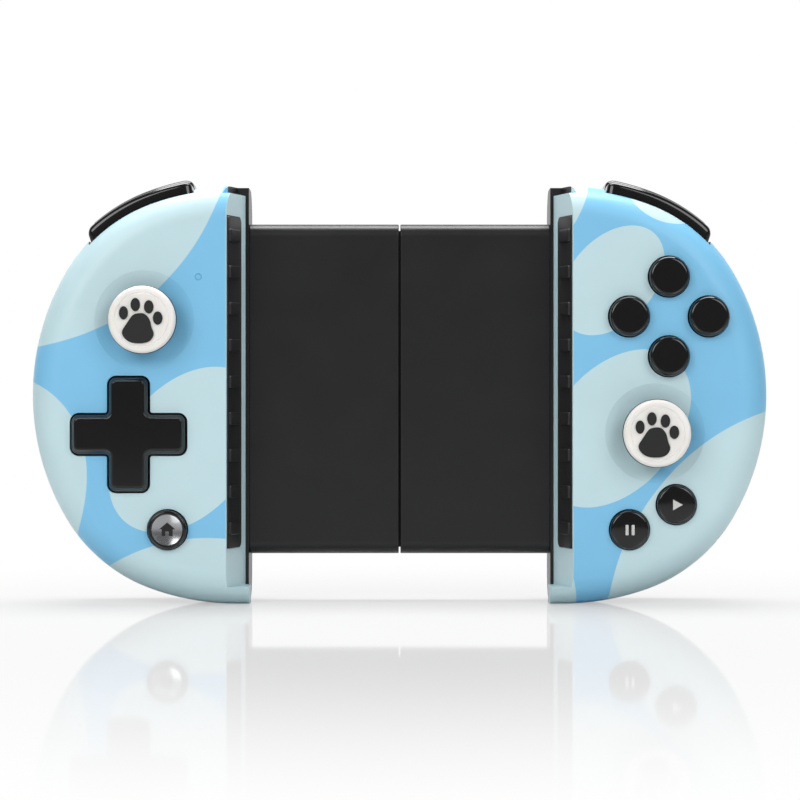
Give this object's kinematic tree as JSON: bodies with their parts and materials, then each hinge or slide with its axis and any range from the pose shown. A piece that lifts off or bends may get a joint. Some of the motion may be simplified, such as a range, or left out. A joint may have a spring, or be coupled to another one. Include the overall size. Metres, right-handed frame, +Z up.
{
  "type": "mobile gamepad",
  "caption": "Stretching phone gamepad: two rounded grips with thumb sticks, direction pad, buttons and shoulder keys on a sprung sliding centre bracket.",
  "frame": {"origin": "middle of the base that the gamepad stands on: halfway between the grips, and halfway between the stick caps and the grips' backs", "axes": "+X to the player's right, -Y out of the face towards the player, +Z up"},
  "size_m": [0.1714, 0.0328, 0.0998],
  "materials": {
    "blue_plastic": "satin",
    "black_plastic": "satin",
    "gloss_black": "gloss",
    "rubber": "matt",
    "white_plastic": "satin",
    "steel": "brushed",
    "board": "satin",
    "acetal": "satin",
    "battery_wrap": "satin",
    "lens": "gloss",
    "silicone": "matt",
    "port_steel": "brushed"
  },
  "bodies": {
    "centre_slide": {"centre_slide_front": "black_plastic", "centre_slide_rear": "black_plastic", "left_spring": "steel", "right_spring": "steel"},
    "left_grip": {"left_front_shell": "blue_plastic", "left_rear_shell": "black_plastic", "left_phone_pad": "rubber", "left_main_board": "board", "left_stick_module": "black_plastic", "dpad_frame": "black_plastic", "dpad_membrane": "silicone", "left_shoulder_switches": "black_plastic", "left_bracket_front": "black_plastic", "left_rack": "acetal", "left_screws": "steel", "left_trigger_pin": "steel", "battery": "battery_wrap", "indicator_lens": "lens"},
    "right_grip": {"right_front_shell": "blue_plastic", "right_rear_shell": "black_plastic", "right_phone_pad": "rubber", "right_main_board": "board", "right_stick_module": "black_plastic", "button_membrane": "silicone", "right_shoulder_switches": "black_plastic", "right_bracket_front": "black_plastic", "right_rack": "acetal", "right_screws": "steel", "right_trigger_pin": "steel", "charging_port": "port_steel"},
    "sync_pinion": {"sync_pinion": "acetal"},
    "left_stick_yoke": {"left_stick_yoke": "black_plastic"},
    "left_stick_pivot": {"left_stick_pivot": "black_plastic"},
    "left_stick": {"left_stick_shaft": "black_plastic", "left_stick_cap": "white_plastic", "left_stick_paw": "rubber"},
    "right_stick_yoke": {"right_stick_yoke": "black_plastic"},
    "right_stick_pivot": {"right_stick_pivot": "black_plastic"},
    "right_stick": {"right_stick_shaft": "black_plastic", "right_stick_cap": "white_plastic", "right_stick_paw": "rubber"},
    "dpad_spider": {"dpad_spider": "acetal"},
    "dpad": {"dpad": "gloss_black"},
    "button_top": {"button_top": "gloss_black"},
    "button_right": {"button_right": "gloss_black"},
    "button_bottom": {"button_bottom": "gloss_black"},
    "button_left": {"button_left": "gloss_black"},
    "start_button": {"start_button": "gloss_black"},
    "select_button": {"select_button": "gloss_black"},
    "home_button": {"home_button": "gloss_black"},
    "left_bumper": {"left_bumper": "gloss_black"},
    "left_trigger": {"left_trigger": "gloss_black"},
    "right_bumper": {"right_bumper": "gloss_black"},
    "right_trigger": {"right_trigger": "gloss_black"}
  },
  "joints": [
    {"name": "left_slide", "type": "slide", "parent": "centre_slide", "child": "left_grip", "axis": [-1, 0, 0], "range_m": [0, 0.045], "stiffness_N_per_m": 60, "springref_m": -0.04, "deforming": ["left_spring"]},
    {"name": "right_slide", "type": "slide", "parent": "centre_slide", "child": "right_grip", "axis": [1, 0, 0], "range_m": [0, 0.045], "stiffness_N_per_m": 60, "springref_m": -0.04, "deforming": ["right_spring"]},
    {"name": "pinion_spin", "type": "hinge", "parent": "centre_slide", "child": "sync_pinion", "pos_m": [0, 0.00743, 0.0502], "axis": [0, -1, 0], "range_deg": [0, 645]},
    {"name": "left_stick_up_down", "type": "hinge", "parent": "left_grip", "child": "left_stick_yoke", "pos_m": [-0.059, -0.00237, 0.066], "axis": [1, 0, 0], "range_deg": [-15, 15], "stiffness_Nm_per_rad": 0.02},
    {"name": "left_stick_left_right", "type": "hinge", "parent": "left_stick_yoke", "child": "left_stick_pivot", "pos_m": [-0.059, -0.00237, 0.066], "axis": [0, 0, 1], "range_deg": [-15, 15], "stiffness_Nm_per_rad": 0.02},
    {"name": "left_stick_press", "type": "slide", "parent": "left_stick_pivot", "child": "left_stick", "axis": [0, 1, 0], "range_m": [0, 0.0005], "stiffness_N_per_m": 2000, "springref_m": -0.0005},
    {"name": "right_stick_up_down", "type": "hinge", "parent": "right_grip", "child": "right_stick_yoke", "pos_m": [0.059, -0.00237, 0.0399], "axis": [1, 0, 0], "range_deg": [-15, 15], "stiffness_Nm_per_rad": 0.02},
    {"name": "right_stick_left_right", "type": "hinge", "parent": "right_stick_yoke", "child": "right_stick_pivot", "pos_m": [0.059, -0.00237, 0.0399], "axis": [0, 0, 1], "range_deg": [-15, 15], "stiffness_Nm_per_rad": 0.02},
    {"name": "right_stick_press", "type": "slide", "parent": "right_stick_pivot", "child": "right_stick", "axis": [0, 1, 0], "range_m": [0, 0.0005], "stiffness_N_per_m": 2000, "springref_m": -0.0005},
    {"name": "dpad_up_down", "type": "hinge", "parent": "left_grip", "child": "dpad_spider", "pos_m": [-0.0626, -0.00617, 0.0396], "axis": [1, 0, 0], "range_deg": [-4, 4], "stiffness_Nm_per_rad": 0.05},
    {"name": "dpad_left_right", "type": "hinge", "parent": "dpad_spider", "child": "dpad", "pos_m": [-0.0626, -0.00617, 0.0396], "axis": [0, 0, 1], "range_deg": [-4, 4], "stiffness_Nm_per_rad": 0.05},
    {"name": "button_top_press", "type": "slide", "parent": "right_grip", "child": "button_top", "axis": [0, 1, 0], "range_m": [0, 0.001], "stiffness_N_per_m": 600, "springref_m": -0.0005},
    {"name": "button_right_press", "type": "slide", "parent": "right_grip", "child": "button_right", "axis": [0, 1, 0], "range_m": [0, 0.001], "stiffness_N_per_m": 600, "springref_m": -0.0005},
    {"name": "button_bottom_press", "type": "slide", "parent": "right_grip", "child": "button_bottom", "axis": [0, 1, 0], "range_m": [0, 0.001], "stiffness_N_per_m": 600, "springref_m": -0.0005},
    {"name": "button_left_press", "type": "slide", "parent": "right_grip", "child": "button_left", "axis": [0, 1, 0], "range_m": [0, 0.001], "stiffness_N_per_m": 600, "springref_m": -0.0005},
    {"name": "start_button_press", "type": "slide", "parent": "right_grip", "child": "start_button", "axis": [0, 1, 0], "range_m": [0, 0.001], "stiffness_N_per_m": 600, "springref_m": -0.0005},
    {"name": "select_button_press", "type": "slide", "parent": "right_grip", "child": "select_button", "axis": [0, 1, 0], "range_m": [0, 0.001], "stiffness_N_per_m": 600, "springref_m": -0.0005},
    {"name": "home_button_press", "type": "slide", "parent": "left_grip", "child": "home_button", "axis": [0, 1, 0], "range_m": [0, 0.001], "stiffness_N_per_m": 600, "springref_m": -0.0005},
    {"name": "left_bumper_press", "type": "hinge", "parent": "left_grip", "child": "left_bumper", "pos_m": [-0.05, 0, 0.0915], "axis": [0, -1, 0], "range_deg": [0, 4], "stiffness_Nm_per_rad": 0.3, "springref_deg": -2.86},
    {"name": "left_trigger_pull", "type": "hinge", "parent": "left_grip", "child": "left_trigger", "pos_m": [-0.05, 0, 0.0915], "axis": [0, -1, 0], "range_deg": [0, 8], "stiffness_Nm_per_rad": 0.2, "springref_deg": -4.58},
    {"name": "right_bumper_press", "type": "hinge", "parent": "right_grip", "child": "right_bumper", "pos_m": [0.05, 0, 0.0915], "axis": [0, 1, 0], "range_deg": [0, 4], "stiffness_Nm_per_rad": 0.3, "springref_deg": -2.86},
    {"name": "right_trigger_pull", "type": "hinge", "parent": "right_grip", "child": "right_trigger", "pos_m": [0.05, 0, 0.0915], "axis": [0, 1, 0], "range_deg": [0, 8], "stiffness_Nm_per_rad": 0.2, "springref_deg": -4.58}
  ],
  "couplings": [
    {"joint": "right_slide", "follows": "left_slide", "ratio": 1},
    {"joint": "pinion_spin", "follows": "left_slide", "rad_per_m": 250}
  ]
}
